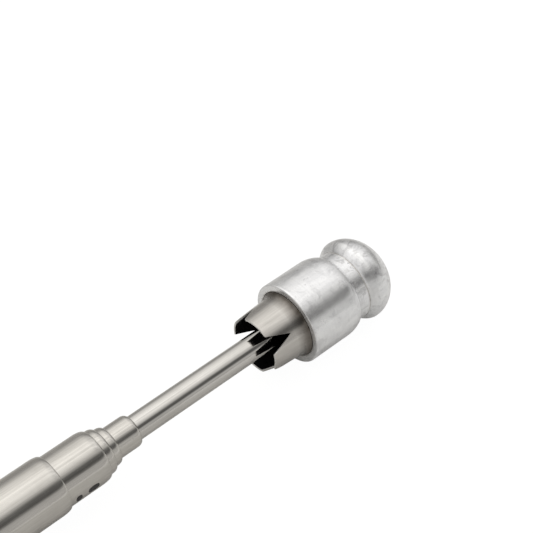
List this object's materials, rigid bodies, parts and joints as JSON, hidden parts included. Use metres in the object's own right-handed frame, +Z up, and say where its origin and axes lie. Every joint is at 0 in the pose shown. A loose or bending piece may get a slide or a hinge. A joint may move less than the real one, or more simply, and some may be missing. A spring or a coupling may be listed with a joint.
{
  "type": "magnetic pickup tool",
  "caption": "Pocket magnetic pickup tool: nested telescoping steel tubes, a thin rod, a notched spring cup and a turned aluminium head with a magnet in its domed end.",
  "frame": {"origin": "on the floor under the middle of the bounding box, with the tool lying down", "axes": "+X along the tool from the closed rear end to the magnet, +Z up, clip towards -Y"},
  "size_m": [0.1582, 0.0118, 0.0105],
  "materials": {
    "stainless_tube": "polished, with fine drawn lines along the tube",
    "polished_rod": "bright polished",
    "clip_steel": "tumbled bright spring strip",
    "turned_cap": "satin turned",
    "turned_aluminium": "satin turned, lightly tumbled",
    "spring_steel": "polished outside, heat-blackened inside",
    "nickel_plate": "bright nickel plate",
    "soft_iron": "dull",
    "bronze_shell": "bright spring bronze"
  },
  "bodies": {
    "handle": {"barrel_tube": "stainless_tube", "end_cap": "turned_cap", "clip_band": "clip_steel"},
    "clip": {"clip_arm": "clip_steel"},
    "section_2": {"section_2_tube": "stainless_tube", "friction_shell_2a": "bronze_shell", "friction_shell_2b": "bronze_shell"},
    "section_3": {"section_3_tube": "stainless_tube", "friction_shell_3a": "bronze_shell", "friction_shell_3b": "bronze_shell"},
    "section_4": {"section_4_tube": "stainless_tube", "friction_shell_4a": "bronze_shell", "friction_shell_4b": "bronze_shell"},
    "section_5": {"section_5_tube": "stainless_tube", "friction_shell_5a": "bronze_shell", "friction_shell_5b": "bronze_shell"},
    "rod_slider": {"friction_shell_6a": "bronze_shell", "friction_shell_6b": "bronze_shell"},
    "head": {"rod_tube": "polished_rod", "head_knob": "turned_aluminium", "spring_cup": "spring_steel", "staked_ring": "spring_steel", "pickup_magnet": "nickel_plate", "magnet_backing": "soft_iron"}
  },
  "joints": [
    {"name": "slide_2", "type": "slide", "parent": "handle", "child": "section_2", "axis": [1, 0, 0], "range_m": [-0.0046, 0.094]},
    {"name": "slide_3", "type": "slide", "parent": "section_2", "child": "section_3", "axis": [1, 0, 0], "range_m": [0, 0.0992]},
    {"name": "slide_4", "type": "slide", "parent": "section_3", "child": "section_4", "axis": [1, 0, 0], "range_m": [0, 0.1003]},
    {"name": "slide_5", "type": "slide", "parent": "section_4", "child": "section_5", "axis": [1, 0, 0], "range_m": [-0.0021, 0.0988]},
    {"name": "slide_rod", "type": "slide", "parent": "section_5", "child": "rod_slider", "axis": [1, 0, 0], "range_m": [-0.0223, 0.0792]},
    {"name": "head_spin", "type": "hinge", "parent": "rod_slider", "child": "head", "pos_m": [0.06505, 0.0006, 0.00526], "axis": [1, 0, 0], "continuous": true},
    {"name": "clip_flex", "type": "hinge", "parent": "handle", "child": "clip", "pos_m": [-0.06915, -0.00511, 0.00384], "axis": [0, 0.2419, -0.9703], "range_deg": [0, 4], "stiffness_Nm_per_rad": 2}
  ]
}
